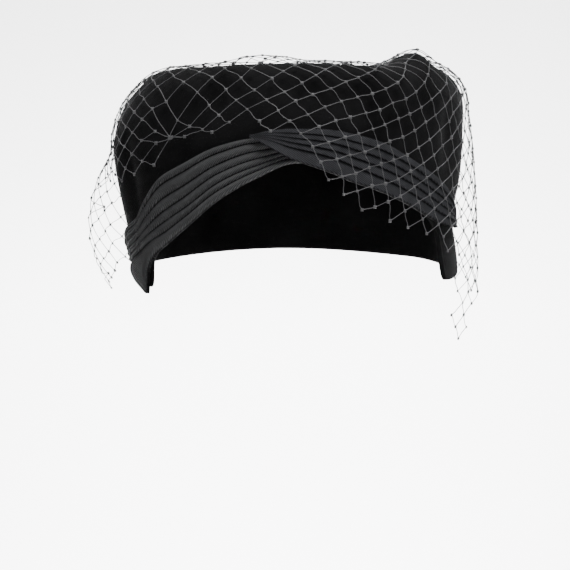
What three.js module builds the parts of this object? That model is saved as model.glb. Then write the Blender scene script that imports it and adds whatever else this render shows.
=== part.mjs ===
// Draped pillbox hat: a velvet crown, two crossed pleated bands and a net veil.
// Millimetres. +Z is up along the crown's axis, -Y is the front, +X is the wearer's left.
// The origin is the centre of the head opening, level with the lowest point of the rim.
// An azimuth of 0 degrees is the front and +90 is the wearer's left.
import * as THREE from "three";

// ---- Driving dimensions ----
const DEPTH_RATIO = 1.09; // front to back over side to side
const CROWN_WALL = 2.4; // velvet over its stiff foundation
const CROWN_DOME = 3; // rise of the top's middle over its edge
const BAND_THICKNESS = 2.2; // folded cloth in a pleat's valley
const PLEAT_HEIGHT = 1; // a pleat's crest over its valley
const BAND_PLEATS = 6;
const PIECE_GAP = 0.5; // between neighbouring pieces
const VEIL_THICKNESS = 1; // outer form of the net
const VEIL_LIFT = 4.2; // veil over the crown's top

// ---- Mesh steps ----
const WALL_STEPS = 9;
const ROUND_STEPS = 4;
const TOP_STEPS = 4;
const AROUND_STEP = 7.5; // degrees between columns
const BAND_STEP = 3.5; // degrees between a band's cross-sections
const VEIL_FALL_STEPS = 7;

// Crown, a row for each column of the wall: its rim, where it is widest, and its rounded top edge.
const CROWN = [
  { az: -180, rimZ: 30, rimR: 84, fullR: 92.5, fullZ: 98, roundW: 17, roundH: 17 },
  { az: -110, rimZ: 19, rimR: 80, fullR: 92.5, fullZ: 86, roundW: 30, roundH: 31 },
  { az: -90, rimZ: 14, rimR: 77.5, fullR: 92.5, fullZ: 76, roundW: 34, roundH: 41.5 },
  { az: -72, rimZ: 7, rimR: 78, fullR: 92.5, fullZ: 78, roundW: 31, roundH: 38.5 },
  { az: -64, rimZ: 4, rimR: 79, fullR: 92.5, fullZ: 84, roundW: 28, roundH: 33 },
  { az: -59, rimZ: 16, rimR: 80, fullR: 92.5, fullZ: 85, roundW: 26, roundH: 31.5 },
  { az: -45, rimZ: 27.5, rimR: 82, fullR: 92.5, fullZ: 89, roundW: 21, roundH: 26 },
  { az: -22, rimZ: 48.5, rimR: 85, fullR: 92.5, fullZ: 97, roundW: 15, roundH: 17 },
  { az: 2, rimZ: 65.5, rimR: 86, fullR: 92.5, fullZ: 100, roundW: 13, roundH: 14 },
  { az: 25, rimZ: 54.5, rimR: 86, fullR: 92.5, fullZ: 100, roundW: 12, roundH: 14 },
  { az: 50, rimZ: 41.5, rimR: 86.5, fullR: 92.5, fullZ: 101, roundW: 12, roundH: 16 },
  { az: 59, rimZ: 33, rimR: 88, fullR: 92.5, fullZ: 101, roundW: 12, roundH: 16.5 },
  { az: 66, rimZ: 7.5, rimR: 89, fullR: 92.5, fullZ: 101, roundW: 13, roundH: 17 },
  { az: 90, rimZ: 13, rimR: 89.5, fullR: 92.5, fullZ: 99, roundW: 14, roundH: 18 },
  { az: 130, rimZ: 24, rimR: 86, fullR: 92.5, fullZ: 99, roundW: 16, roundH: 17 },
  { az: 180, rimZ: 30, rimR: 84, fullR: 92.5, fullZ: 98, roundW: 17, roundH: 17 },
];

// Soft folds in the velvet wall, a row for each: its middle, its half-sizes and how far it stands out.
const WALL_FOLDS = [
  { az: -74, z: 62, halfAz: 5, halfZ: 26, out: 1.2 },
  { az: -64, z: 58, halfAz: 4, halfZ: 22, out: -1.4 },
  { az: -55, z: 66, halfAz: 5, halfZ: 20, out: 0.9 },
  { az: 86, z: 42, halfAz: 20, halfZ: 17, out: -3.6 },
  { az: 63, z: 84, halfAz: 4, halfZ: 18, out: -1.5 },
  { az: 74, z: 76, halfAz: 5, halfZ: 26, out: 1.1 },
  { az: 150, z: 64, halfAz: 12, halfZ: 26, out: -1.2 },
  { az: -140, z: 60, halfAz: 12, halfZ: 26, out: -1.2 },
];

// Soft folds in the crown's top, a row for each: its middle, its direction, its half-sizes and its rise.
const TOP_FOLDS = [
  { x: 63, y: -48, turn: -68, halfLong: 34, halfWide: 10, up: 6 },
  { x: 44, y: -62, turn: -66, halfLong: 24, halfWide: 6, up: -2.5 },
  { x: -10, y: 10, turn: -40, halfLong: 50, halfWide: 30, up: -2.5 },
];

// Band on the wearer's right, under: top edge, crease over its lowest fold, and lower edge.
const RIGHT_BAND = [
  { az: 12, topZ: 72.5, creaseZ: 64.8, lowZ: 63.2 },
  { az: 2, topZ: 75.5, creaseZ: 65.4, lowZ: 62.8 },
  { az: -10, topZ: 75.5, creaseZ: 59, lowZ: 55.6 },
  { az: -22, topZ: 72.2, creaseZ: 50.4, lowZ: 46 },
  { az: -35, topZ: 64.4, creaseZ: 38, lowZ: 33 },
  { az: -45, topZ: 58.4, creaseZ: 31, lowZ: 25 },
  { az: -54, topZ: 48, creaseZ: 27, lowZ: 19 },
  { az: -60, topZ: 42, creaseZ: 24.5, lowZ: 12 },
  { az: -64, topZ: 39.6, creaseZ: 23, lowZ: 0.5 },
  { az: -75, topZ: 35.6, creaseZ: 20, lowZ: 5 },
  { az: -88, topZ: 32, creaseZ: 18.5, lowZ: 11 },
  { az: -99, topZ: 27, creaseZ: 20, lowZ: 16 },
];

// Band on the wearer's left, over: it starts in a point and its lowest fold is broad.
const LEFT_BAND = [
  { az: -11.5, topZ: 77, creaseZ: 76, lowZ: 75.3 },
  { az: -6, topZ: 78.6, creaseZ: 74.2, lowZ: 71 },
  { az: 1, topZ: 79.7, creaseZ: 70.4, lowZ: 64.6 },
  { az: 9, topZ: 79.7, creaseZ: 67.4, lowZ: 60.2 },
  { az: 19, topZ: 78.3, creaseZ: 62.6, lowZ: 54.8 },
  { az: 30, topZ: 74.8, creaseZ: 57, lowZ: 50.2 },
  { az: 42, topZ: 67.4, creaseZ: 50.4, lowZ: 44.2 },
  { az: 50, topZ: 62.6, creaseZ: 45.6, lowZ: 40 },
  { az: 60, topZ: 56.6, creaseZ: 40.6, lowZ: 36 },
  { az: 69, topZ: 50, creaseZ: 38.6, lowZ: 35.6 },
  { az: 78, topZ: 44, creaseZ: 38, lowZ: 35.8 },
  { az: 87, topZ: 40, creaseZ: 37.4, lowZ: 36 },
];

// Veil, a row for each column: its distance off the crown where that is widest, its hem, and the
// radius of its belly half-way down to the hem.
const VEIL = [
  { az: -180, stand: 4, bellyR: 99, hemR: 97, hemZ: 48 },
  { az: -150, stand: 5, bellyR: 102, hemR: 101, hemZ: 42 },
  { az: -128, stand: 5, bellyR: 107, hemR: 101, hemZ: 20 },
  { az: -108, stand: 3, bellyR: 108.5, hemR: 99, hemZ: 9 },
  { az: -94, stand: 1.8, bellyR: 107, hemR: 94, hemZ: 3 },
  { az: -87, stand: 1.8, bellyR: 96, hemR: 94, hemZ: 58 },
  { az: -60, stand: 1.8, bellyR: 95.5, hemR: 93.5, hemZ: 57 },
  { az: -46, stand: 2, bellyR: 95, hemR: 93.5, hemZ: 61 },
  { az: -39, stand: 2.2, bellyR: 94.5, hemR: 93.6, hemZ: 76 },
  { az: -16, stand: 3, bellyR: 98.5, hemR: 99.4, hemZ: 79 },
  { az: 2, stand: 3.6, bellyR: 101, hemR: 101.6, hemZ: 77 },
  { az: 8, stand: 3.8, bellyR: 102, hemR: 101.6, hemZ: 59 },
  { az: 17, stand: 3.6, bellyR: 100.5, hemR: 98.6, hemZ: 44 },
  { az: 35, stand: 3.2, bellyR: 98, hemR: 95.5, hemZ: 30 },
  { az: 64, stand: 3, bellyR: 96.5, hemR: 94, hemZ: 18 },
  { az: 72, stand: 3, bellyR: 97, hemR: 89, hemZ: -24 },
  { az: 80, stand: 3.2, bellyR: 99, hemR: 90, hemZ: -27 },
  { az: 92, stand: 3.5, bellyR: 100.5, hemR: 101, hemZ: -4 },
  { az: 118, stand: 4, bellyR: 101, hemR: 101, hemZ: 12 },
  { az: 150, stand: 5, bellyR: 101, hemR: 101, hemZ: 40 },
  { az: 180, stand: 4, bellyR: 99, hemR: 97, hemZ: 48 },
];

// How far the veil's rounded edge stands out past the crown's own top edge.
const VEIL_ROUND = 2.4;

// ---- Helpers ----

const radians = THREE.MathUtils.degToRad;

// Slope of a column at one row: the harmonic mean of its neighbours' slopes, so nothing overshoots.
function slopeAt(rows, column, i) {
  const slope = (a, b) => (b[column] - a[column]) / (b.az - a.az);
  if (i === 0 || i === rows.length - 1) return 0;
  const before = slope(rows[i - 1], rows[i]);
  const after = slope(rows[i], rows[i + 1]);
  return before * after > 0 ? (2 * before * after) / (before + after) : 0;
}

// A table's column at any azimuth, on a smooth curve through its rows.
function at(table, column, az) {
  const rows = table[0].az < table[1].az ? table : [...table].reverse();
  const inside = THREE.MathUtils.clamp(az, rows[0].az, rows[rows.length - 1].az);
  const i = Math.max(0, rows.findIndex((row) => row.az >= inside) - 1);
  const [a, b] = [rows[i], rows[i + 1]];
  const span = b.az - a.az;
  const t = (inside - a.az) / span;
  const fromA = 2 * t ** 3 - 3 * t ** 2 + 1;
  const slopeA = (t ** 3 - 2 * t ** 2 + t) * span * slopeAt(rows, column, i);
  const slopeB = (t ** 3 - t ** 2) * span * slopeAt(rows, column, i + 1);
  return fromA * a[column] + slopeA + (1 - fromA) * b[column] + slopeB;
}

const bell = (distance, half) => Math.exp(-((distance / half) ** 2));

// A point of the hat's oval at an azimuth, a radius measured to the side, and a height.
function ovalPoint(az, radius, z) {
  const angle = radians(az);
  return new THREE.Vector3(radius * Math.sin(angle), -DEPTH_RATIO * radius * Math.cos(angle), z);
}

// The skin of a bar through its closed sections, open at both ends.
function skin(loops) {
  const size = loops[0].length;
  const positions = loops.flat().flatMap((p) => [p.x, p.y, p.z]);
  const faces = [];
  for (let i = 0; i < loops.length - 1; i += 1) {
    for (let j = 0; j < size; j += 1) {
      const after = (j + 1) % size;
      const [a, b, c, d] = [i * size + j, i * size + after, (i + 1) * size + j, (i + 1) * size + after];
      faces.push(a, c, b, b, c, d);
    }
  }
  return { positions, faces, size };
}

// Triangles that fill a bar's section, turned to face its start.
function capFaces(section) {
  const outline = section.map((p) => new THREE.Vector2(Math.hypot(p.x, p.y / DEPTH_RATIO), p.z));
  return THREE.ShapeUtils.triangulateShape(outline, []).map(([a, b, c]) => {
    const area = THREE.ShapeUtils.area([outline[a], outline[b], outline[c]]);
    return area > 0 ? [a, b, c] : [a, c, b];
  });
}

function toGeometry(positions, faces) {
  const geometry = new THREE.BufferGeometry();
  geometry.setAttribute("position", new THREE.Float32BufferAttribute(positions, 3));
  geometry.setIndex(faces);
  geometry.computeVertexNormals();
  return geometry;
}

// A bowl: for each azimuth, the outer and inner points run from the hem to the top, and both skins
// close in a pole.
function bowl(azimuths, outerColumn, innerColumn, outerPole, innerPole) {
  const columns = azimuths.map((az) => [...outerColumn(az).reverse(), ...innerColumn(az)]);
  const size = columns[0].length;
  const count = columns.length;
  const positions = columns.flat().flatMap((p) => [p.x, p.y, p.z]);
  const faces = [];
  for (let i = 0; i < count; i += 1) {
    const next = (i + 1) % count;
    for (let j = 0; j < size - 1; j += 1) {
      const a = i * size + j;
      const c = next * size + j;
      faces.push(a, a + 1, c, a + 1, c + 1, c);
    }
    faces.push(count * size, i * size, next * size);
    faces.push(count * size + 1, next * size + size - 1, i * size + size - 1);
  }
  positions.push(outerPole.x, outerPole.y, outerPole.z, innerPole.x, innerPole.y, innerPole.z);
  return toGeometry(positions, faces);
}

// Evenly spaced azimuths with each table row's own azimuth among them, none closer than a degree.
function columnAzimuths(table) {
  const keys = table.map((row) => row.az).filter((az) => az < 180);
  const even = [];
  for (let az = -180; az < 180 - 1e-6; az += AROUND_STEP) {
    if (keys.every((key) => Math.abs(key - az) > 0.4 * AROUND_STEP)) even.push(az);
  }
  return [...keys, ...even].sort((a, b) => a - b);
}

// ---- Crown ----

function wallRadius(az, z) {
  const rimR = at(CROWN, "rimR", az);
  const share = THREE.MathUtils.clamp(z / at(CROWN, "fullZ", az), 0, 1);
  const eased = (share + share * share * (3 - 2 * share)) / 2;
  const plain = rimR + (at(CROWN, "fullR", az) - rimR) * eased;
  return WALL_FOLDS.reduce(
    (r, fold) => r + fold.out * bell(az - fold.az, fold.halfAz) * bell(z - fold.z, fold.halfZ),
    plain,
  );
}

function topFoldRise(x, y) {
  return TOP_FOLDS.reduce((rise, fold) => {
    const turn = radians(fold.turn);
    const along = (x - fold.x) * Math.cos(turn) + (y - fold.y) * Math.sin(turn);
    const across = (y - fold.y) * Math.cos(turn) - (x - fold.x) * Math.sin(turn);
    return rise + fold.up * bell(along, fold.halfLong) * bell(across, fold.halfWide);
  }, 0);
}

// A column of the crown from its rim to near the middle of its top, moved out by an offset.
function crownColumn(az, offset) {
  const [rimZ, fullZ, fullR, roundW, roundH] = ["rimZ", "fullZ", "fullR", "roundW", "roundH"].map(
    (column) => at(CROWN, column, az),
  );
  const points = [];
  for (let j = 0; j < WALL_STEPS; j += 1) {
    const z = rimZ + ((fullZ - rimZ) * j) / WALL_STEPS;
    points.push(ovalPoint(az, wallRadius(az, z) + offset, z));
  }
  for (let j = 0; j < ROUND_STEPS; j += 1) {
    const turn = (Math.PI / 2) * (j / ROUND_STEPS);
    const radius = fullR - roundW * (1 - Math.cos(turn)) + offset * Math.cos(turn);
    const point = ovalPoint(az, radius, fullZ + (roundH + offset) * Math.sin(turn));
    point.z += topFoldRise(point.x, point.y) * Math.sin(turn);
    points.push(point);
  }
  for (let j = 0; j < TOP_STEPS; j += 1) {
    const share = 1 - j / TOP_STEPS;
    const point = ovalPoint(az, (fullR - roundW) * share, 0);
    const edgeZ = fullZ + roundH;
    const middleZ = crownMiddleZ();
    const dome = middleZ + (edgeZ - middleZ) * share ** 2;
    point.z = dome + offset + topFoldRise(point.x, point.y);
    points.push(point);
  }
  return points;
}

function crownMiddleZ() {
  return at(CROWN, "fullZ", 2) + at(CROWN, "roundH", 2) + CROWN_DOME;
}

function crownPole(offset) {
  return new THREE.Vector3(0, 0, crownMiddleZ() + offset + topFoldRise(0, 0));
}

function makeCrown() {
  return bowl(
    columnAzimuths(CROWN),
    (az) => crownColumn(az, 0),
    (az) => crownColumn(az, -CROWN_WALL),
    crownPole(0),
    crownPole(-CROWN_WALL),
  );
}

// ---- Bands ----

// Height of a pleat's crest over its valleys, where share runs 0 to 1 across the pleat.
const PLEAT_SECTION = [
  { share: 0, rise: 0 },
  { share: 0.3, rise: 1 },
  { share: 0.7, rise: 0.9 },
];

// The closed section of a band at one azimuth: its pleated outside, from the lower edge up, and its
// plain inside, back down.
function bandSection(table, az, clearance) {
  const [topZ, creaseZ, lowZ] = ["topZ", "creaseZ", "lowZ"].map((column) => at(table, column, az));
  const creases = [lowZ];
  for (let pleat = 0; pleat < BAND_PLEATS; pleat += 1) {
    creases.push(creaseZ + ((topZ - creaseZ) * pleat) / (BAND_PLEATS - 1));
  }
  const inside = clearance(az);
  const point = (z, out) => ovalPoint(az, wallRadius(az, z) + inside + out, z);
  const section = [];
  for (let pleat = 0; pleat < BAND_PLEATS; pleat += 1) {
    const [from, to] = [creases[pleat], creases[pleat + 1]];
    for (const { share, rise } of PLEAT_SECTION) {
      section.push(point(from + (to - from) * share, BAND_THICKNESS + PLEAT_HEIGHT * rise));
    }
  }
  section.push(point(topZ, BAND_THICKNESS));
  for (const share of [1, 0.66, 0.33, 0]) section.push(point(lowZ + (topZ - lowZ) * share, 0));
  return section;
}

function makeBand(table, clearance) {
  const azimuths = table.map((row) => row.az);
  const [from, to] = [Math.min(...azimuths), Math.max(...azimuths)];
  const steps = Math.round((to - from) / BAND_STEP);
  const loops = [];
  for (let i = 0; i <= steps; i += 1) {
    loops.push(bandSection(table, from + ((to - from) * i) / steps, clearance));
  }
  const { positions, faces, size } = skin(loops);
  const lastStart = (loops.length - 1) * size;
  for (const [a, b, c] of capFaces(loops[0])) faces.push(a, b, c);
  for (const [a, b, c] of capFaces(loops[loops.length - 1])) {
    faces.push(lastStart + a, lastStart + c, lastStart + b);
  }
  return toGeometry(positions, faces);
}

// The right band lies on the crown. The left band climbs over it where they cross.
const onCrown = () => PIECE_GAP;
const CROSSING_ENDS = 14;
const CROSSING_FADE = 22;

function overRightBand(az) {
  const climb = 1 - THREE.MathUtils.smoothstep(az, CROSSING_ENDS, CROSSING_FADE);
  return PIECE_GAP + climb * (BAND_THICKNESS + PLEAT_HEIGHT + PIECE_GAP);
}

// ---- Veil ----

function veilColumn(az, offset) {
  const [stand, bellyR, hemR, hemZ] = ["stand", "bellyR", "hemR", "hemZ"].map((column) =>
    at(VEIL, column, az),
  );
  const [fullZ, fullR, roundW, roundH] = ["fullZ", "fullR", "roundW", "roundH"].map((column) =>
    at(CROWN, column, az),
  );
  const shoulderR = fullR + stand;
  const points = [];
  for (let j = 0; j < VEIL_FALL_STEPS; j += 1) {
    const t = j / VEIL_FALL_STEPS;
    const middle = 4 * t * (1 - t);
    const straight = hemR + (shoulderR - hemR) * t;
    const bulge = bellyR - (hemR + shoulderR) / 2;
    points.push(ovalPoint(az, straight + bulge * middle + offset, hemZ + (fullZ - hemZ) * t));
  }
  for (let j = 0; j < ROUND_STEPS; j += 1) {
    const turn = (Math.PI / 2) * (j / ROUND_STEPS);
    const inward = (roundW - VEIL_ROUND + stand) * (1 - Math.cos(turn));
    const radius = shoulderR - inward + offset * Math.cos(turn);
    const point = ovalPoint(az, radius, fullZ + (roundH + VEIL_LIFT + offset) * Math.sin(turn));
    point.z += topFoldRise(point.x, point.y) * Math.sin(turn);
    points.push(point);
  }
  for (let j = 0; j < TOP_STEPS; j += 1) {
    const share = 1 - j / TOP_STEPS;
    const point = ovalPoint(az, (fullR - roundW + VEIL_ROUND) * share, 0);
    const middleZ = crownMiddleZ();
    const dome = middleZ + (fullZ + roundH - middleZ) * share ** 2;
    point.z = dome + VEIL_LIFT + offset + topFoldRise(point.x, point.y);
    points.push(point);
  }
  return points;
}

function makeVeil() {
  return bowl(
    columnAzimuths(VEIL),
    (az) => veilColumn(az, 0),
    (az) => veilColumn(az, -VEIL_THICKNESS),
    crownPole(VEIL_LIFT),
    crownPole(VEIL_LIFT - VEIL_THICKNESS),
  );
}

// ---- Assembly ----

const velvet = new THREE.MeshStandardMaterial({ color: 0x0d0d0e, roughness: 0.95, metalness: 0 });
const ribbedCloth = new THREE.MeshStandardMaterial({ color: 0x2e3033, roughness: 0.8, metalness: 0 });
const net = new THREE.MeshStandardMaterial({ color: 0x161617, roughness: 0.7, metalness: 0 });

const group = new THREE.Group();
const pieces = [
  { name: "crown", geometry: makeCrown(), material: velvet },
  { name: "band_wearers_right", geometry: makeBand(RIGHT_BAND, onCrown), material: ribbedCloth },
  { name: "band_wearers_left", geometry: makeBand(LEFT_BAND, overRightBand), material: ribbedCloth },
  { name: "veil", geometry: makeVeil(), material: net },
];
for (const { name, geometry, material } of pieces) {
  const mesh = new THREE.Mesh(geometry, material.clone());
  mesh.name = name;
  group.add(mesh);
}

export default group;
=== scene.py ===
import math
import random

import bpy
import numpy as np
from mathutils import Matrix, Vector


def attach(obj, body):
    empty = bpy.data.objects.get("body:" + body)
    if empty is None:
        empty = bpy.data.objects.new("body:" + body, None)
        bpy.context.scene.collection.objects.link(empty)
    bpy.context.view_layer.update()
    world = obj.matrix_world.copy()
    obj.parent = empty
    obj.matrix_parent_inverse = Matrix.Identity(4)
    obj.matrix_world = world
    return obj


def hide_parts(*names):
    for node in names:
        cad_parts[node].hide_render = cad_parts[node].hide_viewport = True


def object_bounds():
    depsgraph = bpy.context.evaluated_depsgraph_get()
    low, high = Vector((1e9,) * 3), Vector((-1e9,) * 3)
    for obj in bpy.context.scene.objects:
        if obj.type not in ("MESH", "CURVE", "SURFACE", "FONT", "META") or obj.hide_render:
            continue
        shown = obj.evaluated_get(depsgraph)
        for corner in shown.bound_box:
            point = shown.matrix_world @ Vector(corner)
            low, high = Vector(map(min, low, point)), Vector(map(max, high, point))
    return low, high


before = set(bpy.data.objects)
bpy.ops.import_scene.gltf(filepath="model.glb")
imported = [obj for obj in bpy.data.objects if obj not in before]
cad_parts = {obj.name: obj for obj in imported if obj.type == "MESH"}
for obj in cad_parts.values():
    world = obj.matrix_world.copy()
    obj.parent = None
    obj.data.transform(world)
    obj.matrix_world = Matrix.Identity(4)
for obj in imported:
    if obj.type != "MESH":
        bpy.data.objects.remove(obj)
packed_low, packed_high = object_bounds()

MM = 0.001

# ---- Driving dimensions ----
DEPTH_RATIO = 1.09
CROWN_WALL_MM = 2.4
CROWN_DOME_MM = 3.0
BAND_THICKNESS_MM = 2.2
PIECE_GAP_MM = 0.5
NET_INSIDE_MM = 0.5
THREAD_MM = 0.38
KNOT_MM = 1.7
KNOT_STRAY_MM = 0.55
RIB_PITCH_MM = 1.15

# ---- Tables ----
CROWN_ROWS = ("az", "rimZ", "rimR", "fullR", "fullZ", "roundW", "roundH")
CROWN = [
    (-180, 30, 84, 92.5, 98, 17, 17),
    (-110, 19, 80, 92.5, 86, 30, 31),
    (-90, 14, 77.5, 92.5, 76, 34, 41.5),
    (-72, 7, 78, 92.5, 78, 31, 38.5),
    (-64, 4, 79, 92.5, 84, 28, 33),
    (-59, 16, 80, 92.5, 85, 26, 31.5),
    (-45, 27.5, 82, 92.5, 89, 21, 26),
    (-22, 48.5, 85, 92.5, 97, 15, 17),
    (2, 65.5, 86, 92.5, 100, 13, 14),
    (25, 54.5, 86, 92.5, 100, 12, 14),
    (50, 41.5, 86.5, 92.5, 101, 12, 16),
    (59, 33, 88, 92.5, 101, 12, 16.5),
    (66, 7.5, 89, 92.5, 101, 13, 17),
    (90, 13, 89.5, 92.5, 99, 14, 18),
    (130, 24, 86, 92.5, 99, 16, 17),
    (180, 30, 84, 92.5, 98, 17, 17),
]

# Soft folds in the wall: middle, half-sizes and how far each stands out.
# Each row: az, z, halfAz, halfZ, out.
WALL_FOLDS = [
    (-74, 62, 5, 26, 1.2),
    (-64, 58, 4, 22, -1.4),
    (-55, 66, 5, 20, 0.9),
    (86, 42, 20, 17, -3.6),
    (63, 84, 4, 18, -1.5),
    (74, 76, 5, 26, 1.1),
    (150, 64, 12, 26, -1.2),
    (-140, 60, 12, 26, -1.2),
]

# Soft folds in the top: middle, direction, half-sizes and rise.
# Each row: x, y, turn, halfLong, halfWide, up.
TOP_FOLDS = [
    (63, -48, -68, 34, 10, 6),
    (44, -62, -66, 24, 6, -2.5),
    (-10, 10, -40, 50, 30, -2.5),
]

# Band on the wearer's right, under: its borders, and the creases between them as shares from the
# crease over the lowest fold to the top edge.
BAND_ROWS = ("az", "topZ", "creaseZ", "lowZ")
RIGHT_BAND = [
    (12, 72.5, 64.8, 63.2),
    (2, 75.5, 65.4, 62.8),
    (-10, 75.5, 59, 55.6),
    (-22, 72.2, 50.4, 46),
    (-35, 64.4, 38, 33),
    (-45, 58.4, 31, 25),
    (-54, 48, 27, 19),
    (-60, 42, 24.5, 12),
    (-64, 39.6, 23, 0.5),
    (-75, 35.6, 20, 5),
    (-88, 32, 18.5, 11),
    (-99, 27, 20, 16),
]
RIGHT_CREASES = (0.0, 0.18, 0.38, 0.6, 0.85, 1.0)

# Band on the wearer's left, over.
LEFT_BAND = [
    (-11.5, 77, 76, 75.3),
    (-6, 78.6, 74.2, 71),
    (1, 79.7, 70.4, 64.6),
    (9, 79.7, 67.4, 60.2),
    (19, 78.3, 62.6, 54.8),
    (30, 74.8, 57, 50.2),
    (42, 67.4, 50.4, 44.2),
    (50, 62.6, 45.6, 40),
    (60, 56.6, 40.6, 36),
    (69, 50, 38.6, 35.6),
    (78, 44, 38, 35.8),
    (87, 40, 37.4, 36),
]
LEFT_CREASES = (0.0, 0.27, 0.52, 0.76, 1.0)

VEIL_ROWS = ("az", "stand", "bellyR", "hemR", "hemZ")
VEIL = [
    (-180, 4, 99, 97, 48),
    (-150, 5, 102, 101, 42),
    (-128, 5, 107, 101, 20),
    (-108, 3, 108.5, 99, 9),
    (-94, 1.8, 107, 94, 3),
    (-87, 1.8, 96, 94, 58),
    (-60, 1.8, 95.5, 93.5, 57),
    (-46, 2, 95, 93.5, 61),
    (-39, 2.2, 94.5, 93.6, 76),
    (-16, 3, 98.5, 99.4, 79),
    (2, 3.6, 101, 101.6, 77),
    (8, 3.8, 102, 101.6, 59),
    (17, 3.6, 100.5, 98.6, 44),
    (35, 3.2, 98, 95.5, 30),
    (64, 3, 96.5, 94, 18),
    (72, 3, 97, 89, -24),
    (80, 3.2, 99, 90, -27),
    (92, 3.5, 100.5, 101, -4),
    (118, 4, 101, 101, 12),
    (150, 5, 101, 101, 40),
    (180, 4, 99, 97, 48),
]

# How the net lies, round the wall: degrees from a column of knots to the next, the lift of its rows, the
# height of half a mesh, and the lean of its columns in degrees for each millimetre up.
NET_ROWS = ("az", "across", "lift", "halfHigh", "lean")
NET = [
    (-180, 4.2, 3, 5.6, 0.0),
    (-120, 4.2, 10, 5.6, -0.02),
    (-80, 4.8, 19, 5.4, -0.05),
    (-45, 5.2, 26.5, 5.4, 0.0),
    (-28, 4.6, 27.5, 5.7, 0.16),
    (8, 4.35, 21, 5.15, 0.19),
    (30, 3.85, 8.5, 5.6, 0.28),
    (45, 3.9, 0, 6.3, 0.28),
    (65, 4.0, -6, 6.3, 0.24),
    (90, 4.1, -8, 6.3, 0.14),
    (130, 4.2, -4, 6.0, 0.05),
    (180, 4.2, 3, 5.6, 0.0),
]
NET_PHASE = 0.0
NET_LEVEL_MM = 79.0
THREAD_LENGTH_MM = 8.7
NET_GATHER_MM = 9.0

# How far the net rides over the crown's top edge, round the hat.
NET_LIFT_ROWS = ("az", "over")
NET_LIFT = [
    (-180, 1.6),
    (-60, 1.4),
    (-24, 1.8),
    (-13, 4.4),
    (-4, 3.9),
    (8, 1.6),
    (36, 1.8),
    (58, 2.6),
    (80, 2.0),
    (180, 1.6),
]
NET_REST_MM = 1.3

# Places where the net is drawn together: the stitch over the wearer's right band, and the soft gathers
# down the wearer's left side.
TACK = {"az": -39.4, "z": 77.4, "reach": 11.5, "pull": 0.95}
TACK_FAN = {"left": 12.0, "right": 34.0, "up": 20.0, "pull": 0.8}
GATHERS = [
    {"az": 61, "half": 3.2, "pull": 0.6},
    {"az": 69, "half": 3.2, "pull": 0.6},
    {"az": 80, "half": 4.0, "pull": 0.5},
    {"az": -100, "half": 4.0, "pull": 0.5},
    {"az": -112, "half": 4.0, "pull": 0.5},
]


# ---- Curves through the tables ----

def column_curves(names, rows):
    """For each column, a smooth curve of azimuth through its rows that never overshoots."""
    table = np.array(sorted(rows), float)
    x = table[:, 0]
    step = np.diff(x)

    def curve_of(y):
        chord = np.diff(y) / step
        slope = np.zeros_like(y)
        same = chord[:-1] * chord[1:] > 0
        total = np.where(same, chord[:-1] + chord[1:], 1.0)
        slope[1:-1] = np.where(same, 2 * chord[:-1] * chord[1:] / total, 0.0)

        def curve(az):
            inside = np.clip(az, x[0], x[-1])
            i = np.clip(np.searchsorted(x, inside) - 1, 0, len(x) - 2)
            t = (inside - x[i]) / step[i]
            first = 2 * t**3 - 3 * t**2 + 1
            rise = (t**3 - 2 * t**2 + t) * step[i] * slope[i] + (t**3 - t**2) * step[i] * slope[i + 1]
            return first * y[i] + (1 - first) * y[i + 1] + rise

        return curve

    return {name: curve_of(table[:, k]) for k, name in enumerate(names) if k}


def bell(distance, half):
    return np.exp(-((distance / half) ** 2))


def smoothstep(low, high, value):
    t = np.clip((value - low) / (high - low), 0, 1)
    return t * t * (3 - 2 * t)


def around(az):
    """The same azimuth between -180 and 180 degrees."""
    return (np.asarray(az, float) + 180) % 360 - 180


crown = column_curves(CROWN_ROWS, CROWN)
veil = column_curves(VEIL_ROWS, VEIL)
net = column_curves(NET_ROWS, NET)
net_lift = column_curves(NET_LIFT_ROWS, NET_LIFT)


def column_places():
    """The azimuths of the net's columns of knots, an even number of them all the way round."""
    az = np.linspace(-180, 180, 721)
    passed = np.concatenate([[0], np.cumsum(np.diff(az) / net["across"]((az[1:] + az[:-1]) / 2))])
    count = 2 * round(passed[-1] / 2)
    passed *= count / passed[-1]
    return np.interp((np.arange(count) + NET_PHASE) % count, passed, az)


net_columns = column_places()
NET_COLUMNS = len(net_columns)


def oval(az, radius, z):
    """Points of the hat's oval, in metres."""
    angle = np.radians(az)
    x, y, z = np.broadcast_arrays(radius * np.sin(angle), -DEPTH_RATIO * radius * np.cos(angle), z)
    return np.stack([x, y, z], -1) * MM


def wave_noise(x, y, seed, octaves=3):
    """Smooth uneven ripples from sums of seeded waves, about -1 to 1."""
    draw = random.Random(seed)
    total = np.zeros(np.broadcast(x, y).shape)
    for octave in range(octaves):
        for _ in range(4):
            angle = draw.uniform(0, 2 * math.pi)
            size = 2**octave * draw.uniform(0.7, 1.3)
            phase = draw.uniform(0, 2 * math.pi)
            total = total + np.sin((x * math.cos(angle) + y * math.sin(angle)) * size + phase) / 2**octave
    return total / 4


# ---- Meshes ----

def mesh_object(name, points, faces, material, smooth=True):
    mesh = bpy.data.meshes.new(name)
    mesh.from_pydata([tuple(p) for p in points], [], [tuple(f) for f in faces])
    mesh.validate()
    mesh.materials.append(material)
    mesh.polygons.foreach_set("use_smooth", [smooth] * len(mesh.polygons))
    mesh.update()
    made = bpy.data.objects.new(name, mesh)
    bpy.context.scene.collection.objects.link(made)
    return made


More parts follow.
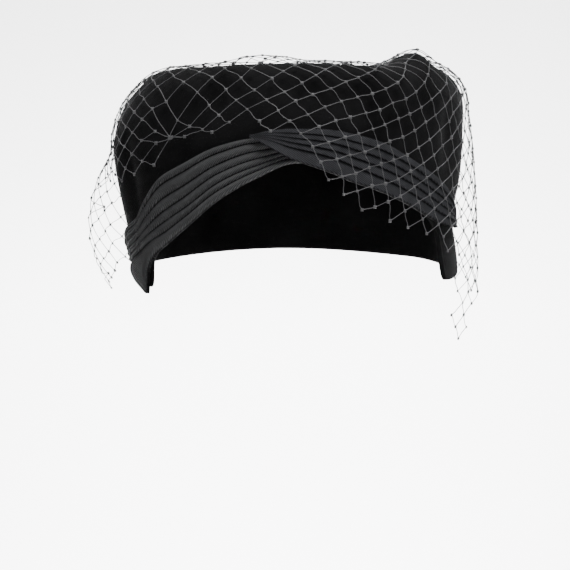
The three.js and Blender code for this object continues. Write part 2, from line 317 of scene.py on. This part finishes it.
def grid_faces(rows, columns, start=0, closed_rows=False, closed_columns=False):
    """Quads over a grid of points, each quad from one row to the next."""
    i = np.arange(rows if closed_rows else rows - 1)[:, None]
    j = np.arange(columns if closed_columns else columns - 1)[None, :]
    a = (i % rows) * columns + j
    b = (i % rows) * columns + (j + 1) % columns
    c = ((i + 1) % rows) * columns + (j + 1) % columns
    d = ((i + 1) % rows) * columns + j
    return (np.stack([a, b, c, d], -1).reshape(-1, 4) + start).tolist()


def add_cloth_map(piece, across, along):
    """A map in metres along and across the cloth, for its weave."""
    layer = piece.data.uv_layers.new(name="cloth")
    index = np.zeros(len(piece.data.loops), int)
    piece.data.loops.foreach_get("vertex_index", index)
    uv = np.stack([along[index], across[index]], -1).astype(np.float32)
    layer.data.foreach_set("uv", uv.ravel())


def add_share(piece, name, values):
    layer = piece.data.attributes.new(name, "FLOAT", "POINT")
    layer.data.foreach_set("value", np.asarray(values, np.float32))


# ---- Node helpers ----

def new_material(name, **sockets):
    """A material whose Principled shader has these constants."""
    material = bpy.data.materials.new(name)
    material.use_nodes = True
    shader = material.node_tree.nodes["Principled BSDF"]
    for socket, value in sockets.items():
        shader.inputs[socket.replace("_", " ")].default_value = value
    return material, material.node_tree, shader


def new_group(name, inputs, outputs):
    """A shader node group: inputs are (name, type, default) and outputs (name, type)."""
    group = bpy.data.node_groups.new(name, "ShaderNodeTree")
    for label, kind, default in inputs:
        socket = group.interface.new_socket(label, in_out="INPUT", socket_type=kind)
        if default is not None:
            socket.default_value = default
    for label, kind in outputs:
        group.interface.new_socket(label, in_out="OUTPUT", socket_type=kind)
    return group, group.nodes.new("NodeGroupInput"), group.nodes.new("NodeGroupOutput")


def placed(tree, group, **values):
    node = tree.nodes.new("ShaderNodeGroup")
    node.node_tree = group
    for label, value in values.items():
        node.inputs[label.replace("_", " ")].default_value = value
    return node


def math_node(tree, operation, first, second=None, third=None):
    node = tree.nodes.new("ShaderNodeMath")
    node.operation = operation
    for k, value in enumerate((first, second, third)):
        if value is None:
            continue
        if isinstance(value, (int, float)):
            node.inputs[k].default_value = value
        else:
            tree.links.new(value, node.inputs[k])
    return node.outputs[0]


def mix_colour(tree, share, first, second):
    node = tree.nodes.new("ShaderNodeMix")
    node.data_type = "RGBA"
    for name, value in (("Factor", share), ("A", first), ("B", second)):
        socket = node.inputs[name]
        if isinstance(value, (int, float, tuple)):
            socket.default_value = value
        else:
            tree.links.new(value, socket)
    return node.outputs["Result"]


def scaled_noise(tree, vector, scale, detail=3.0):
    node = tree.nodes.new("ShaderNodeTexNoise")
    node.inputs["Scale"].default_value = scale
    node.inputs["Detail"].default_value = detail
    tree.links.new(vector, node.inputs["Vector"])
    return node.outputs["Fac"]


def bumped(tree, shader, height, distance, strength=1.0):
    bump = tree.nodes.new("ShaderNodeBump")
    bump.inputs["Distance"].default_value = distance
    bump.inputs["Strength"].default_value = strength
    tree.links.new(height, bump.inputs["Height"])
    tree.links.new(bump.outputs["Normal"], shader.inputs["Normal"])


# ---- Shared effects ----

def cloth_wear_group():
    """Faint uneven tone and fine fibre grain that any of the cloths shows."""
    group, inlet, outlet = new_group(
        "cloth_unevenness",
        [("Patch Scale", "NodeSocketFloat", 60.0), ("Grain Scale", "NodeSocketFloat", 2500.0)],
        [("Patches", "NodeSocketFloat"), ("Grain", "NodeSocketFloat")],
    )
    place = group.nodes.new("ShaderNodeTexCoord").outputs["Object"]
    for label, detail in (("Patch", 4.0), ("Grain", 2.0)):
        noise = group.nodes.new("ShaderNodeTexNoise")
        noise.inputs["Detail"].default_value = detail
        group.links.new(place, noise.inputs["Vector"])
        group.links.new(inlet.outputs[f"{label} Scale"], noise.inputs["Scale"])
        group.links.new(noise.outputs["Fac"], outlet.inputs["Patches" if label == "Patch" else "Grain"])
    return group


def ribbed_weave_group():
    """Fine ribs on the bias of the cloth map, broken by the crossing threads."""
    group, inlet, outlet = new_group(
        "ribbed_weave",
        [("Pitch", "NodeSocketFloat", RIB_PITCH_MM * MM), ("Bias", "NodeSocketFloat", 0.6)],
        [("Ribs", "NodeSocketFloat"), ("Cross Threads", "NodeSocketFloat")],
    )
    split = group.nodes.new("ShaderNodeSeparateXYZ")
    cloth = group.nodes.new("ShaderNodeUVMap")
    cloth.uv_map = "cloth"
    group.links.new(cloth.outputs["UV"], split.inputs["Vector"])
    cosine = math_node(group, "COSINE", inlet.outputs["Bias"])
    sine = math_node(group, "SINE", inlet.outputs["Bias"])
    across = math_node(group, "MULTIPLY_ADD", split.outputs["Y"], cosine,
                       math_node(group, "MULTIPLY", split.outputs["X"], sine))
    sideways = math_node(group, "MULTIPLY", split.outputs["Y"], sine)
    along = math_node(group, "MULTIPLY_ADD", split.outputs["X"], cosine,
                      math_node(group, "MULTIPLY", sideways, -1.0))
    wobble = scaled_noise(group, cloth.outputs["UV"], 160.0)
    turns = math_node(group, "DIVIDE", across, inlet.outputs["Pitch"])
    turns = math_node(group, "MULTIPLY_ADD", wobble, 0.6, turns)
    ribs = math_node(group, "SINE", math_node(group, "MULTIPLY", turns, 2 * math.pi))
    ribs = math_node(group, "MULTIPLY_ADD", ribs, 0.5, 0.5)
    half_turns = math_node(group, "MULTIPLY", math_node(group, "FLOOR", turns), 0.5)
    threads = math_node(group, "ADD", math_node(group, "DIVIDE", along, inlet.outputs["Pitch"]), half_turns)
    threads = math_node(group, "SINE", math_node(group, "MULTIPLY", threads, 4 * math.pi))
    threads = math_node(group, "MULTIPLY_ADD", threads, 0.5, 0.5)
    group.links.new(ribs, outlet.inputs["Ribs"])
    group.links.new(threads, outlet.inputs["Cross Threads"])
    return group


# ---- Materials ----

def velvet_material(unevenness):
    material, tree, shader = new_material(
        "black_velvet",
        Roughness=0.9,
        Specular_IOR_Level=0.06,
        Sheen_Weight=0.06,
        Sheen_Roughness=0.3,
        Sheen_Tint=(0.62, 0.63, 0.65, 1),
    )
    nap = placed(tree, unevenness, Patch_Scale=38.0, Grain_Scale=1900.0)
    dark = (0.0035, 0.0035, 0.0037, 1)
    brushed = (0.011, 0.011, 0.0115, 1)
    patch = math_node(tree, "MULTIPLY_ADD", nap.outputs["Patches"], 2.2, -0.6)
    tree.nodes[-1].use_clamp = True
    tree.links.new(mix_colour(tree, patch, dark, brushed), shader.inputs["Base Color"])
    pile = math_node(tree, "MULTIPLY_ADD", nap.outputs["Patches"], 2.0, nap.outputs["Grain"])
    bumped(tree, shader, pile, 0.0006, 0.7)
    return material


def ribbed_material(name, weave, unevenness, light, dark, bias):
    material, tree, shader = new_material(
        name,
        Roughness=0.8,
        Specular_IOR_Level=0.07,
        Sheen_Weight=0.02,
        Sheen_Roughness=0.5,
        Sheen_Tint=(0.8, 0.82, 0.86, 1),
    )
    ribs = placed(tree, weave, Pitch=RIB_PITCH_MM * MM, Bias=bias)
    tone = placed(tree, unevenness, Patch_Scale=55.0, Grain_Scale=2600.0)
    share = math_node(tree, "MULTIPLY_ADD", ribs.outputs["Ribs"], 0.8,
                      math_node(tree, "MULTIPLY", ribs.outputs["Cross Threads"], 0.2))
    share = math_node(tree, "MULTIPLY_ADD", tone.outputs["Patches"], 0.5, share)
    share = math_node(tree, "MULTIPLY_ADD", tone.outputs["Grain"], 0.25, share)
    share = math_node(tree, "SUBTRACT", share, 0.45)
    tree.nodes[-1].use_clamp = True
    woven = mix_colour(tree, share, dark, light)
    # Painted shade: the 'crease' attribute mixes the woven colour towards near black in the creases between
    # pleats and over the band's inside.
    depth = tree.nodes.new("ShaderNodeAttribute")
    depth.attribute_name = "crease"
    shade = tuple(channel * 0.08 for channel in dark[:3]) + (1,)
    tree.links.new(mix_colour(tree, depth.outputs["Fac"], woven, shade), shader.inputs["Base Color"])
    height = math_node(tree, "MULTIPLY_ADD", ribs.outputs["Cross Threads"], 0.35, ribs.outputs["Ribs"])
    height = math_node(tree, "MULTIPLY_ADD", tone.outputs["Grain"], 0.3, height)
    bumped(tree, shader, height, 0.0003, 1.0)
    return material


def net_material(unevenness):
    material, tree, shader = new_material(
        "net_thread",
        Roughness=0.5,
        Specular_IOR_Level=0.5,
        Sheen_Weight=0.2,
        Sheen_Roughness=0.4,
        Sheen_Tint=(0.8, 0.82, 0.86, 1),
    )
    tone = placed(tree, unevenness, Patch_Scale=90.0, Grain_Scale=1400.0)
    share = math_node(tree, "MULTIPLY_ADD", tone.outputs["Patches"], 1.8, -0.4)
    tree.nodes[-1].use_clamp = True
    colour = mix_colour(tree, share, (0.045, 0.045, 0.047, 1), (0.105, 0.105, 0.108, 1))
    tree.links.new(colour, shader.inputs["Base Color"])
    bumped(tree, shader, tone.outputs["Grain"], 0.0001, 0.6)
    return material


def backdrop_material(unevenness):
    material, tree, shader = new_material("pale_backdrop", Roughness=0.95, Specular_IOR_Level=0.05)
    tone = placed(tree, unevenness, Patch_Scale=1.2, Grain_Scale=60.0)
    colour = mix_colour(tree, tone.outputs["Patches"], (0.93, 0.93, 0.93, 1), (0.95, 0.95, 0.95, 1))
    tree.links.new(colour, shader.inputs["Base Color"])
    return material


# ---- Crown ----

def wall_radius(az, z):
    share = np.clip(z / crown["fullZ"](az), 0, 1)
    eased = (share + share**2 * (3 - 2 * share)) / 2
    radius = crown["rimR"](az) + (crown["fullR"](az) - crown["rimR"](az)) * eased
    for fold_az, fold_z, half_az, half_z, out in WALL_FOLDS:
        radius = radius + out * bell(az - fold_az, half_az) * bell(z - fold_z, half_z)
    return radius


def top_fold_rise(x, y):
    rise = 0
    for fold_x, fold_y, turn, half_long, half_wide, up in TOP_FOLDS:
        cosine, sine = math.cos(math.radians(turn)), math.sin(math.radians(turn))
        along = (x - fold_x) * cosine + (y - fold_y) * sine
        across = (y - fold_y) * cosine - (x - fold_x) * sine
        rise = rise + up * bell(along, half_long) * bell(across, half_wide)
    return rise


CROWN_MIDDLE_MM = float(crown["fullZ"](2) + crown["roundH"](2)) + CROWN_DOME_MM
WALL_STEPS, ROUND_STEPS, TOP_STEPS, ROLL_STEPS = 64, 30, 40, 6
CROWN_COLUMNS = 360


def crown_skin(az, offset, steps):
    """Columns of the crown from just over its rim to the middle of the top."""
    wall_steps, round_steps, top_steps = steps
    roll = CROWN_WALL_MM / 2
    full_z, full_r = crown["fullZ"](az), crown["fullR"](az)
    round_w, round_h = crown["roundW"](az), crown["roundH"](az)
    rim_z = crown["rimZ"](az) + roll
    rows = []
    for t in np.linspace(0, 1, wall_steps, endpoint=False):
        z = rim_z + (full_z - rim_z) * t
        rows.append(oval(az, wall_radius(az, z) + offset, z))
    for turn in np.linspace(0, math.pi / 2, round_steps, endpoint=False):
        radius = full_r - round_w * (1 - math.cos(turn)) + offset * math.cos(turn)
        point = oval(az, radius, full_z + (round_h + offset) * math.sin(turn))
        point[..., 2] += top_fold_rise(point[..., 0] / MM, point[..., 1] / MM) * math.sin(turn) * MM
        rows.append(point)
    for share in np.linspace(1, 0, top_steps, endpoint=False):
        point = oval(az, (full_r - round_w) * share, 0 * az)
        dome = CROWN_MIDDLE_MM + (full_z + round_h - CROWN_MIDDLE_MM) * share**2
        rise = top_fold_rise(point[..., 0] / MM, point[..., 1] / MM)
        point[..., 2] = (dome + offset + rise) * MM
        rows.append(point)
    return np.array(rows)


def crown_ripples(points):
    """Slight uneven drape of the velvet, in metres along the skin's outward direction."""
    x, y, z = (points[..., k] / MM for k in range(3))
    angle = np.degrees(np.arctan2(x, -y / DEPTH_RATIO))
    ripple = 0.28 * wave_noise(angle / 9, z / 22, seed=4) + 0.12 * wave_noise(angle / 3.5, z / 9, seed=9)
    return ripple * MM


def make_crown(material):
    az = np.linspace(-180, 180, CROWN_COLUMNS, endpoint=False)
    outer = crown_skin(az, 0.0, (WALL_STEPS, ROUND_STEPS, TOP_STEPS))
    inner = crown_skin(az, -CROWN_WALL_MM, (24, 12, 14))
    centre = np.array([0, 0, 0.06])
    outward = outer - centre
    outward[..., 2] *= smoothstep(0.09, 0.115, outer[..., 2])
    outward /= np.linalg.norm(outward, axis=-1, keepdims=True)
    fade = smoothstep(0, 0.006, outer[..., 2] - outer[0][..., 2])
    outer = outer + outward * (crown_ripples(outer) * fade)[..., None]
    middle = (outer[0] + inner[0]) / 2
    rim = []
    for turn in np.linspace(0, math.pi, ROLL_STEPS + 2)[1:-1]:
        side = outer[0] - middle
        down = np.array([0, 0, -CROWN_WALL_MM / 2 * MM])
        rim.append(middle - side * math.cos(turn) + down * math.sin(turn))
    grid = np.concatenate([inner[::-1], np.array(rim), outer])
    rows = len(grid)
    pole_rise = float(top_fold_rise(0, 0))
    poles = [(0, 0, (CROWN_MIDDLE_MM + pole_rise + offset) * MM) for offset in (-CROWN_WALL_MM, 0)]
    points = np.concatenate([grid.reshape(-1, 3), np.array(poles)])
    faces = grid_faces(rows, CROWN_COLUMNS, closed_columns=True)
    inner_pole, outer_pole = rows * CROWN_COLUMNS, rows * CROWN_COLUMNS + 1
    for j in range(CROWN_COLUMNS):
        after = (j + 1) % CROWN_COLUMNS
        faces.append((inner_pole, after, j))
        last = (rows - 1) * CROWN_COLUMNS
        faces.append((outer_pole, last + j, last + after))
    return mesh_object("velvet_crown", points, faces, material)


# ---- Bands ----

FOLD_POINTS = 14
BAND_BACK_POINTS = 8


def rolled_pleat(share):
    """Height over a pleat's own width, from its lower crease to its upper one, and the painted shade that
    darkens its colour at the creases.
    """
    height = np.sin(np.pi * share**0.82) ** 0.62
    return height, bell(share, 0.05) + bell(1 - share, 0.09)


def knife_pleat(share):
    slope = 0.25 + 0.75 * (1 - share) ** 0.8
    height = slope * smoothstep(0, 0.07, share) * (1 - 0.3 * bell(1 - share, 0.1))
    # The second value is painted shade: the colour darkens at both creases of the pleat.
    return height, bell(share, 0.03) + 0.8 * bell(1 - share, 0.07)


def band_mesh(name, rows, creases, clearance, pleat, heights, wobble, step, material):
    """A pleated band: its folded outside with creases between the borders, and its plain inside."""
    curves = column_curves(BAND_ROWS, rows)
    first, last = min(rows)[0], max(rows)[0]
    az = np.linspace(first, last, int((last - first) / step) + 1)
    top, crease, low = (curves[label](az) for label in BAND_ROWS[1:])
    span = top - crease
    ends = smoothstep(first, first + 5, az) * (1 - smoothstep(last - 5, last, az))
    borders = [low]
    for k, share in enumerate(creases):
        sway = wobble * wave_noise(az / 6.5, k * 5.3 + 0 * az, seed=11 + k, octaves=2) * ends
        inside = 0 if k in (0, len(creases) - 1) else 1
        borders.append(crease + span * share + sway * np.minimum(span / 20, 1) * (0.35 + 0.65 * inside))
    thin = 0.25 + 0.75 * smoothstep(first, first + 5, az) * (1 - smoothstep(last - 6, last, az))
    outside, depth, across = [], [], []
    covered = 0 * az
    for k in range(len(borders) - 1):
        width = borders[k + 1] - borders[k]
        full = heights[k] * (1 + 0.12 * wave_noise(az / 11, k * 3.1 + 0 * az, seed=31 + k, octaves=2))
        full = full * np.clip(width / 3.2, 0.25, 1)
        shares = np.linspace(0, 1, FOLD_POINTS, endpoint=k == len(borders) - 2)
        for share in shares:
            rise, crease_shade = pleat(np.float64(share))
            z = borders[k] + width * share
            out = (BAND_THICKNESS_MM - 0.9 + full * rise) * thin
            outside.append(oval(az, wall_radius(az, z) + clearance(az) + out, z))
            # The pleat's second value is painted shade, kept per point to darken the colour in the creases
            # between pleats.
            depth.append(np.full(len(az), min(1.0, float(crease_shade))))
            across.append(covered + width * share * 1.25)
        covered = covered + width * 1.25
    inside_rows = []
    for share in np.linspace(1, 0, BAND_BACK_POINTS):
        z = borders[0] + (borders[-1] - borders[0]) * share
        inset = 0.3 * math.sin(math.pi * share)
        inside_rows.append(oval(az, wall_radius(az, z) + clearance(az) - inset * 0.3, z))
        # Painted shade: the band's plain inside is marked as fully shaded.
        depth.append(np.ones(len(az)))
        across.append(covered * share)
    grid = np.array(outside + inside_rows)
    size, columns = grid.shape[0], grid.shape[1]
    faces = grid_faces(size, columns, closed_rows=True)
    points = grid.reshape(-1, 3)
    centres = [grid[:, 0].mean(0), grid[:, -1].mean(0)]
    points = np.concatenate([points, np.array(centres)])
    for i in range(size):
        after = (i + 1) % size
        faces.append((size * columns, after * columns, i * columns))
        faces.append((size * columns + 1, i * columns + columns - 1, after * columns + columns - 1))
    made = mesh_object(name, points, faces, material)
    arc = np.radians(az) * 95 * MM
    along = np.concatenate([np.tile(arc, size), [arc[0], arc[-1]]])
    across = np.concatenate([np.array(across).ravel() * MM, [0, 0]])
    add_cloth_map(made, across, along)
    # The 'crease' attribute carries painted shade: dark in the creases, over the band's inside and at its end
    # caps.
    add_share(made, "crease", np.concatenate([np.array(depth).ravel(), [1, 1]]))
    return made


def over_right_band(az):
    climb = 1 - smoothstep(14, 22, az)
    return PIECE_GAP_MM + climb * (BAND_THICKNESS_MM + 1 + PIECE_GAP_MM)


# ---- Net ----

def veil_columns():
    """The veil's form as columns of points at whole degrees, each with its length up from the full width."""
    az = np.arange(-180, 181, dtype=float)
    stand, belly, hem_r, hem_z = (veil[label](az) for label in VEIL_ROWS[1:])
    full_z, full_r = crown["fullZ"](az), crown["fullR"](az)
    round_w, round_h = crown["roundW"](az), crown["roundH"](az)
    shoulder = full_r + stand
    inside = -NET_INSIDE_MM
    over = net_lift["over"](az)
    rows = []
    for t in np.linspace(0, 1, 60, endpoint=False):
        straight = hem_r + (shoulder - hem_r) * t
        bulge = (belly - (hem_r + shoulder) / 2) * 4 * t * (1 - t)
        rows.append(oval(az, straight + bulge + inside, hem_z + (full_z - hem_z) * t))
    for turn in np.linspace(0, math.pi / 2, 24, endpoint=False):
        inward = (round_w + stand) * (1 - math.cos(turn))
        radius = shoulder - inward + (inside + 0.9 * over * math.sin(turn)) * math.cos(turn)
        point = oval(az, radius, full_z + (round_h + over) * math.sin(turn))
        point[..., 2] += top_fold_rise(point[..., 0] / MM, point[..., 1] / MM) * math.sin(turn) * MM
        rows.append(point)
    for share in np.linspace(1, 0, 40):
        point = oval(az, (full_r - round_w) * share, 0 * az)
        dome = CROWN_MIDDLE_MM + (full_z + round_h - CROWN_MIDDLE_MM) * share**2
        rise = top_fold_rise(point[..., 0] / MM, point[..., 1] / MM)
        above = NET_REST_MM + (over - NET_REST_MM) * smoothstep(0.78, 1.0, share)
        point[..., 2] = (dome + above + rise) * MM
        rows.append(point)
    columns = np.array(rows) / MM
    lengths = np.linalg.norm(np.diff(columns, axis=0), axis=-1)
    height = np.concatenate([np.zeros((1, len(az))), np.cumsum(lengths, axis=0)])
    height = height - height[60] + full_z
    return columns, height


veil_grid, veil_height = veil_columns()


def on_veil(az, height):
    """The point of the veil's form at an azimuth and a height measured up its columns, in metres."""
    place = float(around(az)) + 180
    i = int(min(place, 359))
    share = place - i
    points = [
        [np.interp(height, veil_height[:, k], veil_grid[:, k, axis]) for axis in range(3)] for k in (i, i + 1)
    ]
    return (np.array(points[0]) * (1 - share) + np.array(points[1]) * share) * MM


def hem_height(az):
    place = float(around(az)) + 180
    i = int(min(place, 359))
    return veil_height[0, i] + (veil_height[0, i + 1] - veil_height[0, i]) * (place - i)


def gathered(az, height):
    """Where the net's stitch and side gathers draw a place on it to."""
    side = (az - TACK["az"]) * 1.62
    up = height - TACK["z"]
    reach = TACK_FAN["right"] if side > 0 else TACK_FAN["left"]
    fan = math.exp(-((side / reach) ** 2 + (up / TACK_FAN["up"]) ** 2) ** 1.5) * TACK_FAN["pull"]
    height, up = height - up * fan, up * (1 - fan)
    near = math.exp(-((side**2 + up**2) / TACK["reach"] ** 2) ** 1.5) * TACK["pull"]
    az, height = az - side / 1.62 * near, height - up * near
    for gather in GATHERS:
        off = az - gather["az"]
        az = az - off * gather["pull"] * math.exp(-((off / gather["half"]) ** 2))
    return az, height


def net_knots():
    """The net's knots, by column and row: azimuth and height on the veil's form."""
    draw = random.Random(21)
    knots = {}
    top_height = {k: veil_height[-1, k] - NET_GATHER_MM for k in range(361)}
    for column in range(NET_COLUMNS):
        base_az = float(net_columns[column])
        for direction in (-1, 1):
            height = NET_LEVEL_MM + float(net["lift"](base_az))
            row = 0 if direction == 1 else -1
            if direction == -1:
                height -= float(net["halfHigh"](base_az))
            while True:
                lean = float(net["lean"](base_az)) * (height - NET_LEVEL_MM)
                fade = 1 - float(smoothstep(100, 120, height))
                az = base_az + lean * fade
                edge = int(around(az)) + 180
                if height > top_height[edge] or height < -45:
                    break
                if (row + column) % 2 == 0:
                    aside = draw.uniform(-KNOT_STRAY_MM, KNOT_STRAY_MM) * 0.6
                    knots[column, row] = (az + aside, height + draw.uniform(-KNOT_STRAY_MM, KNOT_STRAY_MM))
                if direction == 1:
                    point = on_veil(az, height)
                    radius = math.hypot(point[0], point[1] / DEPTH_RATIO) / MM
                    width = math.radians(360 / NET_COLUMNS) * radius
                    over = float(smoothstep(96, 118, height))
                    half = float(net["halfHigh"](base_az))
                    height += half * (1 - over) + over * math.sqrt(max(THREAD_LENGTH_MM**2 - width**2, 20))
                else:
                    height -= float(net["halfHigh"](base_az))
                row += direction
    return knots


def tube(points, radii, sides):
    """Rings of a round thread through its points."""
    points = np.array(points)
    ahead = np.gradient(points, axis=0)
    ahead /= np.linalg.norm(ahead, axis=1, keepdims=True)
    guide = np.array([0.31, 0.52, 0.79])
    first = np.cross(ahead, guide)
    first /= np.linalg.norm(first, axis=1, keepdims=True)
    second = np.cross(ahead, first)
    turns = np.linspace(0, 2 * math.pi, sides, endpoint=False)
    ring = first[:, None] * np.cos(turns)[None, :, None] + second[:, None] * np.sin(turns)[None, :, None]
    rings = points[:, None] + ring * np.array(radii)[:, None, None]
    return rings.reshape(-1, 3)


def bead_faces(count, sides, start):
    """Faces of a tube that is closed at both ends."""
    faces = grid_faces(count, sides, start, closed_columns=True)
    faces.append([start + k for k in range(sides)][::-1])
    faces.append([start + (count - 1) * sides + k for k in range(sides)])
    return faces


STRAND_POINTS = 5
STRAND_SIDES = 5
KNOT_POINTS = 5
KNOT_SIDES = 5
SHORTEST_THREAD = 0.0006


def net_piece(material):
    """The whole net as one mesh: its threads, whose ends meet inside its knots."""
    draw = random.Random(5)
    places = {}
    for key, (az, height) in net_knots().items():
        az, height = gathered(az, height)
        if height >= hem_height(az) - 1.0:
            places[key] = (az, height)
    points, faces = [], []
    add_threads(places, draw, points, faces)
    add_knots(places, draw, points, faces)
    return mesh_object("diamond_net_veil", np.concatenate(points), faces, material)


def add_threads(places, draw, points, faces):
    """A slightly wavy thread from each knot to the next one up and the next one down."""
    for (column, row), (az, height) in places.items():
        for turn in (1, -1):
            key = ((column + 1) % NET_COLUMNS, row + turn)
            if key not in places:
                continue
            other_az, other_height = places[key]
            other_az = az + float(around(other_az - az))
            sway = draw.uniform(-0.5, 0.5)
            bend = draw.uniform(-0.5, 0.5)
            line = []
            for t in np.linspace(0, 1, STRAND_POINTS):
                wave = sway * math.sin(math.pi * t) + bend * math.sin(2 * math.pi * t)
                point_az = az + (other_az - az) * t + wave * 0.55
                line.append(on_veil(point_az, height + (other_height - height) * t + wave * 0.7))
            if np.linalg.norm(line[-1] - line[0]) < SHORTEST_THREAD:
                continue
            start = len(points) * STRAND_POINTS * STRAND_SIDES
            radius = THREAD_MM / 2 * MM * draw.uniform(0.85, 1.1)
            points.append(tube(line, [radius] * STRAND_POINTS, STRAND_SIDES))
            faces.extend(grid_faces(STRAND_POINTS, STRAND_SIDES, start, closed_columns=True))


def add_knots(places, draw, points, faces):
    """A small wrapped knot, two crossed beads of thread, at each meeting of threads."""
    count = len(points) * STRAND_POINTS * STRAND_SIDES
    turns = np.linspace(-1, 1, KNOT_POINTS)
    for az, height in places.values():
        centre = on_veil(az, height)
        out = centre * np.array([1, 1, 0.0])
        out /= max(np.linalg.norm(out), 1e-6)
        side = np.cross([0, 0, 1], out)
        up = on_veil(az, height + 1) - on_veil(az, height - 1)
        up /= np.linalg.norm(up)
        long = KNOT_MM * MM * draw.uniform(0.8, 1.15)
        for slant in (0.75, -0.75):
            direction = side * math.cos(slant) + up * math.sin(slant)
            line = [centre + direction * long * 0.62 * t for t in turns]
            radii = [long * 0.36 * math.sqrt(max(1 - (t * 0.97) ** 2, 0.02)) for t in turns]
            points.append(tube(line, radii, KNOT_SIDES))
            faces.extend(bead_faces(KNOT_POINTS, KNOT_SIDES, count))
            count += KNOT_POINTS * KNOT_SIDES


# ---- Stage, light and camera ----

VIEW_DISTANCE = 1.5
VIEW_ELEVATION = math.radians(-4)
VIEW_WIDTH = 0.3021
HAT_MIDDLE = Vector((0, 0, 0.06))
LOOKED_AT = Vector((-0.0016, 0, 0.0062))
SENSOR = 36.0
FLOOR_DROP = 0.72


def make_camera():
    data = bpy.data.cameras.new("camera")
    data.sensor_width = SENSOR
    data.lens = SENSOR * VIEW_DISTANCE / VIEW_WIDTH
    camera = bpy.data.objects.new("camera", data)
    bpy.context.scene.collection.objects.link(camera)
    toward_viewer = Vector((0, -math.cos(VIEW_ELEVATION), math.sin(VIEW_ELEVATION)))
    camera.location = HAT_MIDDLE + VIEW_DISTANCE * toward_viewer
    camera.rotation_mode = "QUATERNION"
    camera.rotation_quaternion = (LOOKED_AT - camera.location).to_track_quat("-Z", "Y")
    bpy.context.scene.camera = camera


def make_backdrop(material):
    """A seamless sweep: a floor well below the hat that curves up into a wall behind it."""
    radius, depth, half_width, height = 0.8, 2.6, 3.6, 3.4
    floor_z = packed_low.z - FLOOR_DROP
    profile = [(-4.0, floor_z), (depth - radius, floor_z)]
    for turn in np.linspace(0, math.pi / 2, 24)[1:]:
        profile.append((depth - radius + radius * math.sin(turn), floor_z + radius * (1 - math.cos(turn))))
    profile.append((depth, floor_z + height))
    points = [(x, y, z) for y, z in profile for x in np.linspace(-half_width, half_width, 9)]
    sweep = mesh_object("seamless_backdrop", points, grid_faces(len(profile), 9), material)


def area_light(name, place, aim, size, power, tint=(1, 1, 1)):
    data = bpy.data.lights.new(name, "AREA")
    data.shape = "RECTANGLE"
    data.size, data.size_y = size
    data.energy = power
    data.color = tint
    light = bpy.data.objects.new(name, data)
    bpy.context.scene.collection.objects.link(light)
    light.location = place
    light.rotation_mode = "QUATERNION"
    light.rotation_quaternion = (Vector(aim) - Vector(place)).to_track_quat("-Z", "Y")
    light.visible_camera = False


def make_lights():
    area_light("key_light", (0.32, -1.1, 1.75), (0, 0, 0.06), (0.8, 0.8), 64, (1, 0.995, 0.985))
    area_light("fill_light", (0.4, -2.0, 0.3), (0, 0, 0.06), (1.2, 1.2), 2, (0.96, 0.98, 1))
    area_light("top_light", (0.3, 0.5, 1.6), (0, 0, 0.1), (0.9, 0.7), 16)
    area_light("backdrop_light", (0, 1.7, -0.42), (0, 2.6, 0.25), (1.6, 0.25), 120)
    world = bpy.data.worlds.new("studio_air")
    bpy.context.scene.world = world
    world.use_nodes = True
    world.node_tree.nodes["Background"].inputs["Color"].default_value = (0.95, 0.96, 1, 1)
    world.node_tree.nodes["Background"].inputs["Strength"].default_value = 0.2


# ---- The hat ----

make_camera()
cloth_unevenness = cloth_wear_group()
ribbed_weave = ribbed_weave_group()
velvet = velvet_material(cloth_unevenness)
grey_ribbed = ribbed_material(
    "charcoal_ribbed_cloth", ribbed_weave, cloth_unevenness,
    (0.105, 0.107, 0.109, 1), (0.033, 0.0335, 0.034, 1), -0.55
)
# A darker, bluer copy of the same ribbed cloth for the wearer's left band: its extra darkness and blue tint
# are painted shade.
shaded_ribbed = ribbed_material(
    "ribbed_cloth_shaded_copy", ribbed_weave, cloth_unevenness,
    (0.056, 0.057, 0.062, 1), (0.020, 0.0205, 0.023, 1), 0.5
)
net_thread = net_material(cloth_unevenness)

velvet_crown = make_crown(velvet)
pleated_right = band_mesh(
    "pleated_band_wearers_right", RIGHT_BAND, RIGHT_CREASES, lambda az: PIECE_GAP_MM + 0 * az, rolled_pleat,
    (2.0, 1.8, 1.8, 1.9, 2.0, 1.9), 0.55, 0.45, grey_ribbed,
)
pleated_left = band_mesh(
    "pleated_band_wearers_left", LEFT_BAND, LEFT_CREASES, over_right_band, knife_pleat,
    (1.7, 1.6, 1.5, 1.5, 1.4), 0.3, 0.4, shaded_ribbed,
)
diamond_net = net_piece(net_thread)

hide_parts("crown")
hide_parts("band_wearers_right")
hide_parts("band_wearers_left")
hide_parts("veil")
for piece, slot in (
    (velvet_crown, "velvet"),
    (pleated_right, "ribbed_cloth"),
    (pleated_left, "ribbed_cloth"),
    (diamond_net, "net"),
):
    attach(piece, "root")

make_backdrop(backdrop_material(cloth_unevenness))
make_lights()
